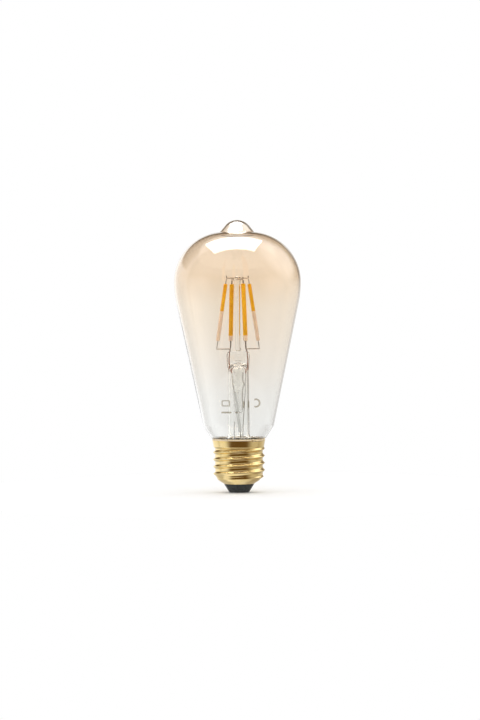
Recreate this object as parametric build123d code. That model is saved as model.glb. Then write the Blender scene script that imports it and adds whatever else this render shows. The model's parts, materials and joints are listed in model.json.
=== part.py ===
from build123d import *
import math
import os

# Smart filament light bulb with a 27 mm screw cap.
# Millimetres. +Z runs up the bulb's axis; the origin is the centre of the face it stands on,
# the underside of the centre contact. +X is to the viewer's right, -Y is the front.

# ---------------------------------------------------------------- driving dimensions
TOTAL_HEIGHT = 138.0
FIT = 0.03                      # gap between pieces that touch along a curved face

# glass envelope
GLASS_WALL = 0.9
EQUATOR_RADIUS = 32.1
EQUATOR_Z = 106.6
DOME_RADIUS = 25.3              # section radius above the equator
BELLY_RADIUS = 50.6             # section radius just below the equator
FLANK_ANGLE = 11.9              # half angle of the long cone
SHOULDER_ANGLE = 33.0           # half angle of the short cone above the cap
SHOULDER_Z = 33.7
HEEL_Z = 27.05                  # underside of the glass, just above the rim of the cap
HEEL_RISE = 0.45
NECK_RADIUS = 11.3
NECK_BOTTOM_Z = 20.2
TIP_RADIUS = 8.0
TIP_FOOT_RADIUS = 8.9

# cap
SHEET = 0.3
SHELL_ROOT_RADIUS = 12.1
SHELL_CREST_RADIUS = 13.05
THREAD_PITCH = 3.629
THREAD_LOW_Z = 6.3
THREAD_HIGH_Z = 24.2
THREAD_CREST_AT_X_Z = 7.75      # height of a crest over the +X axis
THREAD_FADE_LOW_Z = 8.6         # the thread's ends fade out between these heights
THREAD_FADE_HIGH_Z = 24.0
THREAD_FADE = 1.6               # height over which an end fades from its full depth
RIM_TOP_Z = 26.6
SHELL_BOTTOM_Z = 4.4
INSULATOR_BOTTOM_Z = 0.15
INSULATOR_BOTTOM_RADIUS = 5.1
INSULATOR_SHOULDER_RADIUS = 7.67
INSULATOR_TOP_Z = 7.0
CEMENT_BEAD_RADIUS = 13.3          # the bead closes the joint between the rim and the glass
CEMENT_BEAD_TOP_Z = 27.4
NEUTRAL_AZIMUTH = -45.0         # where the neutral wire comes over the rim
NEUTRAL_RADIUS = 0.2
CONTACT_RADIUS = 4.3
CONTACT_DISC = 0.6
EYELET_RADIUS = 1.1
EYELET_TOP_Z = 7.4

# stem
TUBE_RADIUS = 5.3
TUBE_WALL = 0.9
TUBE_TOP_Z = 61.0
FLARE_Z = 28.5                  # where the tube turns outwards
FLARE_BOTTOM_Z = 20.3
PRESS_TOP_Z = 71.6
PRESS_HALF_WIDTH = 5.8
EXHAUST_RADIUS = 2.5
EXHAUST_BOTTOM_Z = 40.0
POST_RADIUS = 1.5
POST_HEAD_RADIUS = 1.65
POST_TOP_Z = 109.8

# wires
WIRE_RADIUS = 0.25
LEAD_LEFT_X = -4.1
LEAD_RIGHT_X = 4.3
ARM_Z = 72.8                    # height of the wires that carry the filaments' lower ends
TOP_WIRE_Z = 108.6
TOP_WIRE_STEP = 0.8             # the second top wire crosses this much lower
SEAL_RADIUS = 0.3               # copper-clad wires sealed in the press
SEAL_LEFT_X = -3.3              # where the seals leave the press below
SEAL_RIGHT_X = 3.6
SLEEVE_RADIUS = 0.8
DUMET_TOP_Z = 71.9
DUMET_BOTTOM_Z = 60.5

# filaments
FILAMENT_NAMES = ("right", "rear", "left", "front")
FIRST_AZIMUTH = 20.0
FILAMENT_TWIST = 7.0
FILAMENT_LOW_RADIUS = 11.5
FILAMENT_HIGH_RADIUS = 6.2
COAT_START = 4.1                # distances along a filament from its lower end
COAT_END = 33.2
COAT_WIDTH = 2.3
COAT_DEPTH = 1.75
STRIP_WIDTH = 0.8
STRIP_DEPTH = 0.3
TAB_LAP = 1.0                   # length of a tab inside the coating
CHIPS_PER_FILAMENT = 18
WARM_FROM = {"right": 19.3, "left": 19.3, "rear": 6.8, "front": 6.8}

# electronics
BOARD_HALF_WIDTH = 10.0
BOARD_BOTTOM_Z = 9.0
BOARD_TOP_Z = 19.4
BOARD_HALF_THICKNESS = 0.5
TONGUE_HALF_WIDTH = 3.8
TONGUE_TOP_Z = 26.4
LEG_RADIUS = 0.22
INDUCTOR_X = 4.9
INDUCTOR_Y = -4.1
INDUCTOR_RADIUS = 2.7
INDUCTOR_WAIST = 1.4
INDUCTOR_FLANGE = 0.9
INDUCTOR_LOW_Z = 10.2
INDUCTOR_HIGH_Z = 16.4
MODULE_Y = 4.6
MODULE_THICKNESS = 0.8
MODULE_PINS = 6
MODULE_PIN_PITCH = 2.5
MODULE_PIN_Z = 10.0

pieces = {}


# ---------------------------------------------------------------- helpers
def polar(radius, degrees, z):
    """A point given by its distance from the bulb's axis, its azimuth and its height."""
    angle = math.radians(degrees)
    return Vector(radius * math.cos(angle), radius * math.sin(angle), z)


def on_circle(centre, radius, degrees):
    """A point of a circle in the half section; zero degrees points away from the axis."""
    angle = math.radians(degrees)
    return (centre[0] + radius * math.cos(angle), centre[1] + radius * math.sin(angle))


def band(low, high, inner=0.0, outer=40.0):
    """A rectangle of the half section between two radii and two heights."""
    middle = ((inner + outer) / 2, (low + high) / 2)
    return Pos(*middle) * Rectangle(outer - inner, high - low)


def turned(section):
    """The solid that a half section sweeps round the bulb's axis."""
    return revolve(Plane.XZ * section, axis=Axis.Z, revolution_arc=360)


def filled(points, radii):
    """A half section bounded by a filleted outline and the axis."""
    chain = FilletPolyline(*points, radius=radii)
    return make_face(chain.edges() + Line(points[-1], points[0]).edges())


def whole(half):
    """A half section and its mirror image as one face."""
    return half + mirror(half, about=Plane.YZ)


def inside(half, depth, low, high):
    """The part of a half section more than a depth below its outline, between two heights."""
    return offset(whole(half), amount=-depth, kind=Kind.INTERSECTION) & band(low, high)


def skin(half, thickness, low, high):
    """A wall of even thickness just inside an outline, between two heights."""
    return (half & band(low, high)) - inside(half, thickness, low - 1, high + 1)


def rod(path, radius):
    """A round wire along a path."""
    start = Plane(origin=path @ 0, z_dir=path % 0)
    return sweep(start * Circle(radius), path=path)


def bent(points, radii):
    """A wire's path: straight runs joined by tangent arcs."""
    return FilletPolyline(*points, radius=radii)


def block(low, high):
    """A box between two opposite corners."""
    size = [b - a for a, b in zip(low, high)]
    middle = [(a + b) / 2 for a, b in zip(low, high)]
    return Pos(*middle) * Box(*size)


def upright(radius, x, y, low, high):
    """A cylinder parallel to the bulb's axis."""
    return Pos(x, y, (low + high) / 2) * Cylinder(radius, high - low)


# ---------------------------------------------------------------- glass envelope
def envelope_outline():
    """Half section of the bulb's outside: tip, dome, belly, long cone, shoulder, heel and neck."""
    tip_centre = (0, TOTAL_HEIGHT - TIP_RADIUS)
    dome_centre = (EQUATOR_RADIUS - DOME_RADIUS, EQUATOR_Z)
    belly_centre = (EQUATOR_RADIUS - BELLY_RADIUS, EQUATOR_Z)

    foot_angle = math.degrees(math.acos((TIP_FOOT_RADIUS - dome_centre[0]) / DOME_RADIUS))
    foot = on_circle(dome_centre, DOME_RADIUS, foot_angle)
    rise = foot[1] - tip_centre[1]
    reach = math.hypot(foot[0], rise)
    tangent_angle = math.degrees(math.atan2(rise, foot[0]) + math.acos(TIP_RADIUS / reach))
    tip_side = on_circle(tip_centre, TIP_RADIUS, tangent_angle)
    tip_middle = on_circle(tip_centre, TIP_RADIUS, (90 + tangent_angle) / 2)

    equator = (EQUATOR_RADIUS, EQUATOR_Z)
    flank_top = on_circle(belly_centre, BELLY_RADIUS, -FLANK_ANGLE)
    flank_drop = (flank_top[1] - SHOULDER_Z) * math.tan(math.radians(FLANK_ANGLE))
    shoulder = (flank_top[0] - flank_drop, SHOULDER_Z)
    heel_top_z = HEEL_Z + HEEL_RISE
    heel_drop = (SHOULDER_Z - heel_top_z) * math.tan(math.radians(SHOULDER_ANGLE))
    heel = (shoulder[0] - heel_drop, heel_top_z)
    neck_top = (NECK_RADIUS, HEEL_Z)
    neck_bottom = (NECK_RADIUS, NECK_BOTTOM_Z - 3)

    dome_middle = on_circle(dome_centre, DOME_RADIUS, foot_angle / 2)
    belly_middle = on_circle(belly_centre, BELLY_RADIUS, -FLANK_ANGLE / 2)
    top, closing = (0, TOTAL_HEIGHT), (0, neck_bottom[1])
    outline = [
        ThreePointArc(top, tip_middle, tip_side),
        Line(tip_side, foot),
        ThreePointArc(foot, dome_middle, equator),
        ThreePointArc(equator, belly_middle, flank_top),
        Polyline(flank_top, shoulder, heel, neck_top, neck_bottom, closing, top),
    ]
    face = make_face([edge for piece in outline for edge in piece.edges()])
    for corner, radius in ((foot, 1.5), (shoulder, 5.0), (heel, 0.9), (neck_top, 0.25)):
        vertex = face.vertices().sort_by_distance(Vector(*corner))[0]
        face = fillet(vertex, radius)
    return face


def glass_envelope():
    section = skin(envelope_outline(), GLASS_WALL, NECK_BOTTOM_Z, TOTAL_HEIGHT + 1)
    return turned(section)


# ---------------------------------------------------------------- stem
def flare_outline():
    """Half section of the flare tube, closed past both of its ends."""
    rim_radius = NECK_RADIUS - GLASS_WALL - FIT
    points = [
        (0, TUBE_TOP_Z + 2),
        (TUBE_RADIUS - 0.05, TUBE_TOP_Z + 2),
        (TUBE_RADIUS + 0.25, FLARE_Z),
        (rim_radius, FLARE_BOTTOM_Z + 1.4),
        (rim_radius, FLARE_BOTTOM_Z - 3),
        (0, FLARE_BOTTOM_Z - 3),
    ]
    return filled(points, [0, 5.0, 1.2, 0])


def stem_flare():
    return turned(skin(flare_outline(), TUBE_WALL, FLARE_BOTTOM_Z, TUBE_TOP_Z))


def stem_press(wires):
    """The pinched end of the flare tube, round below and flat above, with two jaw marks per face.

    The gap between the flare tube and the exhaust tube runs a little way up into it."""
    levels = (
        (TUBE_TOP_Z + 0.02, TUBE_RADIUS, TUBE_RADIUS),
        (TUBE_TOP_Z + 2.0, TUBE_RADIUS + 0.1, TUBE_RADIUS - 0.9),
        (TUBE_TOP_Z + 4.6, PRESS_HALF_WIDTH - 0.1, 2.5),
        (TUBE_TOP_Z + 7.4, PRESS_HALF_WIDTH, 2.2),
        (PRESS_TOP_Z - 1.0, PRESS_HALF_WIDTH - 0.2, 2.0),
        (PRESS_TOP_Z, PRESS_HALF_WIDTH - 1.1, 1.6),
    )
    glass = loft([Pos(0, 0, z) * Ellipse(half_x, half_y) for z, half_x, half_y in levels])
    for side in (-1, 1):
        for z, depth in ((66.7, 2.32), (69.6, 2.3)):
            glass -= Pos(0, side * depth, z) * Rot(0, 90, 0) * Cylinder(0.3, 8.0)
        glass -= Pos(0, side * 3.0, 64.6) * Sphere(1.1)
    low, high = TUBE_TOP_Z - 1, TUBE_TOP_Z + 1.9
    inner, outer = EXHAUST_RADIUS + 0.3, TUBE_RADIUS - TUBE_WALL - 0.1
    shoulder = TUBE_TOP_Z + 0.4
    gap = make_face(
        Polyline(
            (inner, low), (outer, low), (outer, shoulder),
            (outer - 0.6, high), (inner, high), (inner, low),
        )
    )
    glass -= turned(gap)
    for wire in wires:
        glass -= wire
    return glass


def exhaust_tube():
    """Tube that hangs from the press, with a swelling near its top and a melted-shut lower end."""
    top = TUBE_TOP_Z - FIT
    points = [
        (0, top + 2),
        (EXHAUST_RADIUS + 0.15, top + 2),
        (EXHAUST_RADIUS + 0.1, 57.0),
        (EXHAUST_RADIUS + 0.75, 54.8),
        (EXHAUST_RADIUS, 52.2),
        (EXHAUST_RADIUS - 0.1, EXHAUST_BOTTOM_Z),
        (0, EXHAUST_BOTTOM_Z),
    ]
    half = filled(points, [0, 1.5, 0.9, 1.5, 2.2])
    return turned(skin(half, 0.75, EXHAUST_BOTTOM_Z - 1, top))


def glass_post(wires):
    """Solid cane with rounded ends; its swollen head holds the two top wires."""
    bottom = PRESS_TOP_Z + FIT
    points = [
        (0, POST_TOP_Z),
        (POST_HEAD_RADIUS, POST_TOP_Z),
        (POST_HEAD_RADIUS, POST_TOP_Z - 3.0),
        (POST_RADIUS, POST_TOP_Z - 6.0),
        (POST_RADIUS, bottom),
        (0, bottom),
    ]
    cane = turned(filled(points, [1.5, 3.0, 3.0, 0.9]))
    for wire in wires:
        cane -= wire
    return cane


# ---------------------------------------------------------------- filaments
def filament_ends(index):
    """Lower and upper end of a filament, on the wires that carry it."""
    azimuth = FIRST_AZIMUTH + 90 * index
    step = TOP_WIRE_STEP if index % 2 else 0.0
    low = polar(FILAMENT_LOW_RADIUS, azimuth, ARM_Z)
    high = polar(FILAMENT_HIGH_RADIUS, azimuth + FILAMENT_TWIST, TOP_WIRE_Z - step)
    return low, high


def filament_plane(index):
    """Plane at a filament's lower end: X across its width, Y outwards, Z along it."""
    low, high = filament_ends(index)
    azimuth = math.radians(FIRST_AZIMUTH + 90 * index)
    across = Vector(math.sin(azimuth), -math.cos(azimuth), 0)
    return Plane(origin=low, x_dir=across, z_dir=high - low)


def along(start, end, width, depth, shift=0.0):
    """A bar along a filament, in the filament's own plane."""
    return Pos(0, shift, (start + end) / 2) * Box(width, depth, end - start)


def coat_section(start, end, rounded):
    """A length of coating with one rounded end, hollow for the strip and the chips."""
    body = extrude(Plane.XY.offset(start) * SlotOverall(COAT_WIDTH, COAT_DEPTH), end - start)
    ends = body.faces().sort_by(Axis.Z)
    tip = ends[0] if rounded == "low" else ends[-1]
    body = fillet(tip.edges(), 0.35)
    channel = along(start - 1, end + 1, STRIP_WIDTH + 0.04, STRIP_DEPTH + 0.04)
    chip_start = COAT_START + TAB_LAP + 0.2
    chip_end = COAT_END - TAB_LAP - 0.2
    chip_channel = along(chip_start, chip_end, 0.5, 0.24, STRIP_DEPTH / 2 + 0.1)
    return body - channel - chip_channel


def make_filament(index):
    """One filament: strip, chips, two coatings and the tabs that join it to the wires."""
    name = FILAMENT_NAMES[index]
    plane = filament_plane(index)
    low, high = filament_ends(index)
    length = (high - low).length
    strip_start = COAT_START + TAB_LAP
    strip_end = COAT_END - TAB_LAP
    change = WARM_FROM[name]

    strip = along(strip_start, strip_end, STRIP_WIDTH, STRIP_DEPTH)
    pitch = (strip_end - strip_start) / CHIPS_PER_FILAMENT
    chip_shift = STRIP_DEPTH / 2 + 0.09
    chips = [
        along(strip_start + pitch * (n + 0.2), strip_start + pitch * (n + 0.8), 0.44, 0.16, chip_shift)
        for n in range(CHIPS_PER_FILAMENT)
    ]
    tabs = [
        along(WIRE_RADIUS + 0.02, strip_start - 0.02, 0.7, 0.22),
        along(strip_end + 0.02, length - WIRE_RADIUS - 0.12, 0.7, 0.22),
    ]
    pieces["filament_strip_" + name] = plane * strip
    pieces["led_chips_" + name] = Compound(children=[plane * chip for chip in chips])
    pieces["pale_phosphor_" + name] = plane * coat_section(COAT_START, change - 0.01, "low")
    pieces["warm_phosphor_" + name] = plane * coat_section(change, COAT_END, "high")
    pieces["filament_tabs_" + name] = Compound(children=[plane * tab for tab in tabs])


# ---------------------------------------------------------------- wires inside the glass
def top_wire(index):
    """A wire through the head of the post, with upturned ends that hold two opposite filaments."""
    ends = [filament_ends(index)[1], filament_ends(index + 2)[1]]
    lift = Vector(0, 0, 1.2)
    return rod(bent([ends[0] + lift, ends[0], ends[1], ends[1] + lift], 0.5), WIRE_RADIUS)


def lead_wire(x, index):
    """Wire that rises out of the press and turns out to a filament's lower end."""
    low = filament_ends(index)[0]
    path = bent([(x, 0, DUMET_TOP_Z + 0.02), (x, 0, ARM_Z), tuple(low)], 0.5)
    return rod(path, WIRE_RADIUS)


def branch_wire(x, side, index):
    """Wire welded beside a lead wire that turns out to the next filament's lower end."""
    low = filament_ends(index)[0]
    y = side * (2 * WIRE_RADIUS + 0.02)
    path = bent([(x, y, DUMET_TOP_Z + 0.2), (x, y, ARM_Z), tuple(low)], 0.5)
    return rod(path, WIRE_RADIUS)


def shell_outline():
    """Half section of the shell's outside without its thread, closed past both of its ends."""
    points = [
        (0, RIM_TOP_Z + 1),
        (13.6, RIM_TOP_Z + 1),
        (12.75, 23.3),
        (SHELL_ROOT_RADIUS, 22.4),
        (SHELL_ROOT_RADIUS, 8.9),
        (10.8, 6.4),
        (6.5, 3.661),
        (0, 3.661),
    ]
    return filled(points, [0, 1.2, 0.5, 3.0, 3.0, 0])


def thread_ridge():
    """Right-hand ridge of the rolled thread, fading out under the rim and above the taper."""
    height = THREAD_HIGH_Z - THREAD_LOW_Z
    start_azimuth = 360 * (THREAD_LOW_Z - THREAD_CREST_AT_X_Z) / THREAD_PITCH
    helix = Helix(pitch=THREAD_PITCH, height=height, radius=SHELL_ROOT_RADIUS)
    foot = SHELL_ROOT_RADIUS - 0.15
    shoulder = SHELL_CREST_RADIUS - 0.55
    profile = [
        Polyline((shoulder, 0.95), (foot, 1.5), (foot, -1.5), (shoulder, -0.95)),
        ThreePointArc((shoulder, -0.95), (SHELL_CREST_RADIUS, 0), (shoulder, 0.95)),
    ]
    face = make_face([edge for line in profile for edge in line.edges()])
    section = Plane(origin=(0, 0, 0), x_dir=(1, 0, 0), z_dir=(0, -1, 0)) * face
    ridge = sweep(section, path=helix, is_frenet=True)
    ridge = Rot(0, 0, start_azimuth) * Pos(0, 0, THREAD_LOW_Z) * ridge
    inner = SHELL_ROOT_RADIUS - 0.1
    outer = SHELL_CREST_RADIUS + 0.1
    low, high = THREAD_FADE_LOW_Z, THREAD_FADE_HIGH_Z
    fade = THREAD_FADE
    room = make_face(
        Polyline(
            (0, low), (inner, low), (outer, low + fade), (outer, high - fade),
            (inner + 0.6, high), (0, high), (0, low),
        )
    )
    return ridge & turned(room)


def screw_shell():
    wall = turned(skin(shell_outline(), SHEET, SHELL_BOTTOM_Z, RIM_TOP_Z))
    return wall + thread_ridge()


def cap_insulator():
    """Frustum under the shell and a plug inside it, bored for the eyelet and recessed for the disc."""
    frustum = make_face(
        Polyline(
            (0, INSULATOR_BOTTOM_Z), (INSULATOR_BOTTOM_RADIUS, INSULATOR_BOTTOM_Z),
            (INSULATOR_SHOULDER_RADIUS, SHELL_BOTTOM_Z - 0.05), (0, SHELL_BOTTOM_Z - 0.05),
            (0, INSULATOR_BOTTOM_Z),
        )
    )
    corner = frustum.vertices().sort_by_distance(Vector(INSULATOR_BOTTOM_RADIUS, INSULATOR_BOTTOM_Z))[0]
    frustum = fillet(corner, 0.35)
    plug = inside(shell_outline(), SHEET + 0.05, SHELL_BOTTOM_Z - 0.2, INSULATOR_TOP_Z)
    recess = band(-1, CONTACT_DISC + 0.02, 0, CONTACT_RADIUS + 0.03)
    bore = band(-1, INSULATOR_TOP_Z + 1, 0, EYELET_RADIUS + 0.04)
    return turned(frustum + plug - recess - bore)


def centre_contact():
    """Slightly dished disc with a hollow eyelet that the live wire is pressed into."""
    disc = filled(
        [(0, CONTACT_DISC), (CONTACT_RADIUS, CONTACT_DISC), (CONTACT_RADIUS, 0), (0, 0)], [0, 0.3]
    )
    dimple = band(-1, 0.12, 0, 1.6)
    eyelet = band(CONTACT_DISC - 0.1, EYELET_TOP_Z, 0.45, EYELET_RADIUS)
    hollow = band(1.5, EYELET_TOP_Z + 1, 0, 0.45)
    stub = band(CONTACT_DISC - 0.1, 1.5, 0, 0.5)
    return turned(disc + eyelet + stub - dimple - hollow)


def basing_cement(neighbours):
    """Ring of cement between the glass neck and the rim, with a bead that fills the joint above."""
    ring = inside(shell_outline(), SHEET, 22.7, RIM_TOP_Z)
    bead = band(RIM_TOP_Z - 0.1, CEMENT_BEAD_TOP_Z, 0, CEMENT_BEAD_RADIUS)
    cement = turned(ring + bead - band(20, 30, 0, NECK_RADIUS + FIT))
    for neighbour in neighbours:
        cement -= neighbour
    return cement


def neutral_path():
    """From the driver board, up between the neck and the shell, and over the rim."""
    up_radius = (NECK_RADIUS + SHELL_ROOT_RADIUS - SHEET) / 2
    over_z = (RIM_TOP_Z + HEEL_Z) / 2
    points = [
        (7.6, -BOARD_HALF_THICKNESS - 0.24, 18.2),
        tuple(polar(up_radius, NEUTRAL_AZIMUTH, 18.9)),
        tuple(polar(up_radius, NEUTRAL_AZIMUTH, over_z)),
        tuple(polar(13.45, NEUTRAL_AZIMUTH, over_z)),
    ]
    return bent(points, 0.45)


def rim_solder_joint(neighbours):
    """Bead of solder along the rim that joins the neutral wire to the shell."""
    centre_z = RIM_TOP_Z + 0.05
    ring_radius = 13.5
    sweep_angle = 30.0
    start = NEUTRAL_AZIMUTH - sweep_angle / 2
    profile = Pos(ring_radius, centre_z) * Ellipse(0.45, 0.5)
    bead = revolve(Plane.XZ * profile, axis=Axis.Z, revolution_arc=sweep_angle)
    bead = Rot(0, 0, start) * bead
    for neighbour in neighbours:
        bead -= neighbour
    return bead.solids().sort_by(SortBy.VOLUME)[-1]


# ---------------------------------------------------------------- driver electronics
def driver_board():
    y = BOARD_HALF_THICKNESS
    board = block((-BOARD_HALF_WIDTH, -y, BOARD_BOTTOM_Z), (BOARD_HALF_WIDTH, y, BOARD_TOP_Z))
    tongue = block((-TONGUE_HALF_WIDTH, -y, BOARD_TOP_Z - 1), (TONGUE_HALF_WIDTH, y, TONGUE_TOP_Z))
    board = board + tongue
    corners = board.edges().filter_by(Axis.Y).group_by(Axis.Z)[0]
    return fillet(corners, 1.0)


def rear_part(x, z, width, height, depth):
    """A part that lies flat on the rear of the driver board."""
    y = BOARD_HALF_THICKNESS + 0.02
    return block((x - width / 2, y, z - height / 2), (x + width / 2, y + depth, z + height / 2))


def bent_legs(x, y, spacing, bottom):
    """Two wire legs that drop from a part's underside, turn back and rise against the board."""
    board_y = -BOARD_HALF_THICKNESS - LEG_RADIUS - 0.05
    legs = []
    for side in (-1, 1):
        leg_x = x + side * spacing / 2
        path = bent(
            [(leg_x, y, bottom + 0.2), (leg_x, y, bottom - 0.6),
             (leg_x, board_y, bottom - 0.6), (leg_x, board_y, bottom + 0.7)], 0.3)
        legs.append(rod(path, LEG_RADIUS))
    return legs[0] + legs[1]


def filter_capacitor():
    """Electrolytic can with a crimp groove and two legs to the board."""
    x, y = -5.2, -4.3
    radius = 3.15
    bottom = BOARD_BOTTOM_Z + 0.1
    can = upright(radius, x, y, bottom, BOARD_TOP_Z - 0.5)
    can = fillet(can.edges().filter_by(GeomType.CIRCLE), 0.35)
    can -= Pos(x, y, bottom + 1.6) * Torus(radius + 0.15, 0.4)
    return can + bent_legs(x, y, 2.5, bottom)


def inductor_core():
    """Ferrite drum: a waist between two flanges, on two legs."""
    x, y = INDUCTOR_X, INDUCTOR_Y
    core = upright(INDUCTOR_WAIST, x, y, INDUCTOR_LOW_Z, INDUCTOR_HIGH_Z)
    core += upright(INDUCTOR_RADIUS, x, y, INDUCTOR_LOW_Z, INDUCTOR_LOW_Z + INDUCTOR_FLANGE)
    core += upright(INDUCTOR_RADIUS, x, y, INDUCTOR_HIGH_Z - INDUCTOR_FLANGE, INDUCTOR_HIGH_Z)
    return core + bent_legs(x, y, 3.0, INDUCTOR_LOW_Z)


def inductor_winding():
    """The copper winding between the drum's flanges, as a ring with a rib for each turn."""
    low = INDUCTOR_LOW_Z + INDUCTOR_FLANGE + FIT
    high = INDUCTOR_HIGH_Z - INDUCTOR_FLANGE - FIT
    x, y = INDUCTOR_X, INDUCTOR_Y
    middle = (INDUCTOR_WAIST + INDUCTOR_RADIUS) / 2
    ring = upright(middle, x, y, low, high)
    turns = 9
    pitch = (high - low) / turns
    for n in range(turns):
        ring += Pos(x, y, low + pitch * (n + 0.5)) * Torus(middle, pitch * 0.42)
    return ring - upright(INDUCTOR_WAIST + FIT, x, y, low - 1, high + 1)


def fusible_resistor():
    """Axial resistor with swollen ends, its lower lead to the live wire and its upper to the board."""
    x, y = 0.4, -7.6
    low, high = 10.2, 16.2
    body = upright(0.95, x, y, low, high)
    for z in (low + 0.7, high - 0.7):
        body += Pos(x, y, z) * Sphere(1.2)
    top_path = bent(
        [(x, y, high - 0.5), (x, y, 18.0), (x, -BOARD_HALF_THICKNESS - 0.02, 18.0)], 0.6)
    bottom_path = Line((x, y, low + 0.5), (x, y, 8.75))
    return body + rod(top_path, 0.25) + rod(bottom_path, 0.25)


def live_wire():
    """From the eyelet of the centre contact to the fusible resistor."""
    path = bent([(0, 0, 2.0), (0, 0, 8.1), (0.4, -7.6, 8.1), (0.4, -7.6, 8.7)], 0.35)
    return rod(path, 0.3)


def rear_group(places, width, height, depth):
    """Small chip parts of one size on the rear of the driver board."""
    return Compound(children=[rear_part(x, z, width, height, depth) for x, z in places])


def rear_package(x, z, width, height, depth, legs, reach, leg_depth):
    """A moulded package on the rear of the driver board with flat legs on both sides."""
    y = BOARD_HALF_THICKNESS + 0.02
    body = rear_part(x, z, width, height, depth)
    pitch = height / legs
    for side in (-1, 1):
        for n in range(legs):
            leg_z = z - height / 2 + pitch * (n + 0.5)
            ends = sorted((x + side * (width / 2 - 0.2), x + side * (width / 2 + reach)))
            body += block((ends[0], y, leg_z - 0.2), (ends[1], y + leg_depth, leg_z + 0.2))
    return body


def pin_places():
    middle = (MODULE_PINS - 1) / 2
    return [MODULE_PIN_PITCH * (n - middle) for n in range(MODULE_PINS)]


def wireless_board():
    board = block((-7.4, MODULE_Y, 9.3), (7.4, MODULE_Y + MODULE_THICKNESS, 19.0))
    for x in pin_places():
        board -= Pos(x, MODULE_Y, MODULE_PIN_Z) * Rot(90, 0, 0) * Cylinder(0.4, 3.0)
    return board


def header_pins():
    """Square pins that hold the wireless board behind the driver board."""
    front = BOARD_HALF_THICKNESS + 0.02
    back = MODULE_Y + MODULE_THICKNESS + 0.6
    half = 0.25
    pins = [
        block((x - half, front, MODULE_PIN_Z - half), (x + half, back, MODULE_PIN_Z + half))
        for x in pin_places()
    ]
    return Compound(children=pins)


def shield_can():
    """Thin metal lid over the radio parts, open towards its board."""
    y = MODULE_Y + MODULE_THICKNESS + 0.02
    outer = block((-4.6, y, 11.4), (4.6, y + 1.7, 18.4))
    outer = fillet(outer.edges().filter_by(Axis.Y), 0.5)
    return outer - block((-4.4, y - 1, 11.6), (4.4, y + 1.5, 18.2))


def module_part(x, z, width, height, depth):
    """A flat part on the wireless board, under the shield."""
    y = MODULE_Y + MODULE_THICKNESS + 0.02
    return block((x - width / 2, y, z - height / 2), (x + width / 2, y + depth, z + height / 2))


def antenna_wire():
    """Insulated wire that takes the radio signal up out of the metal cap into the stem."""
    y = MODULE_Y - 0.4
    path = bent([(-5.6, y, 16.6), (-5.6, y, 19.6), (-2.4, 1.6, 25.8), (-2.2, 1.5, 36.0)], [1.5, 3.0])
    return rod(path, 0.3)


def solder_dome(x, side, z, wire):
    """Solder that holds a lead against one face of the board's tongue."""
    y = side * (BOARD_HALF_THICKNESS + 0.01)
    low = (x - 2, min(y, y + side * 2), z - 2)
    high = (x + 2, max(y, y + side * 2), z + 2)
    dome = (Pos(x, y, z) * Sphere(1.0)) & block(low, high)
    return (dome - wire).solids().sort_by(SortBy.VOLUME)[-1]


# ---------------------------------------------------------------- build everything
def make_glass_and_wires():
    seal_ends = (
        (LEAD_LEFT_X, LEAD_LEFT_X - 0.4, SEAL_LEFT_X),
        (LEAD_RIGHT_X, LEAD_RIGHT_X + 0.4, SEAL_RIGHT_X),
    )
    seal_paths = [
        bent([(top, 0, DUMET_TOP_Z), (middle, 0, 66.5), (low, 0, DUMET_BOTTOM_Z)], 8.0)
        for top, middle, low in seal_ends
    ]
    holes = [rod(path, SEAL_RADIUS + 0.01) for path in seal_paths]
    tops = [top_wire(0), top_wire(1)]

    pieces["glass_envelope"] = glass_envelope()
    pieces["stem_flare"] = stem_flare()
    pieces["stem_press"] = stem_press(holes)
    pieces["exhaust_tube"] = exhaust_tube()
    pieces["glass_post"] = glass_post(tops)
    pieces["top_wire_left_right"] = tops[0]
    pieces["top_wire_front_rear"] = tops[1]
    pieces["lead_wire_left"] = lead_wire(LEAD_LEFT_X, 2)
    pieces["lead_wire_right"] = lead_wire(LEAD_RIGHT_X, 0)
    pieces["branch_wire_left"] = branch_wire(LEAD_LEFT_X, 1, 1)
    pieces["branch_wire_right"] = branch_wire(LEAD_RIGHT_X, -1, 3)
    pieces["dumet_seal_left"] = rod(seal_paths[0], SEAL_RADIUS)
    pieces["dumet_seal_right"] = rod(seal_paths[1], SEAL_RADIUS)


def make_outer_leads():
    """The leads from the press down to the board, one of them sleeved, and their solder."""
    board_y = BOARD_HALF_THICKNESS + WIRE_RADIUS + 0.02
    top_z = DUMET_BOTTOM_Z - 0.02
    left_x, right_x = 1.0, 2.0
    bends = [Vector(-2.5, -2.6, 54.0), Vector(-0.6, -3.45, 41.5), Vector(0.9, -2.6, 29.5)]
    left = rod(bent(
        [(SEAL_LEFT_X, 0, top_z), *bends, (left_x, -board_y, 25.6), (left_x, -board_y, 23.4)],
        [6.0, 8.0, 3.0, 1.5]), WIRE_RADIUS)
    right = rod(bent(
        [(SEAL_RIGHT_X, 0, top_z), (3.5, 1.2, 51.0), (2.3, 2.5, 33.0),
         (right_x, board_y, 25.6), (right_x, board_y, 23.4)],
        [8.0, 8.0, 1.5]), WIRE_RADIUS)
    sleeve_start = bends[0] + (bends[1] - bends[0]) * 0.25
    sleeve_end = bends[1] + (bends[2] - bends[1]) * 0.85
    sleeve_path = bent([sleeve_start, bends[1], sleeve_end], 8.0)
    sleeve = rod(sleeve_path, SLEEVE_RADIUS) - rod(sleeve_path, WIRE_RADIUS + 0.04)
    joints = [solder_dome(left_x, -1, 24.3, left), solder_dome(right_x, 1, 24.3, right)]
    pieces["outer_lead_left"] = left
    pieces["outer_lead_right"] = right
    pieces["lead_sleeve"] = sleeve
    pieces["lead_solder_joints"] = Compound(children=joints)


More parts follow.
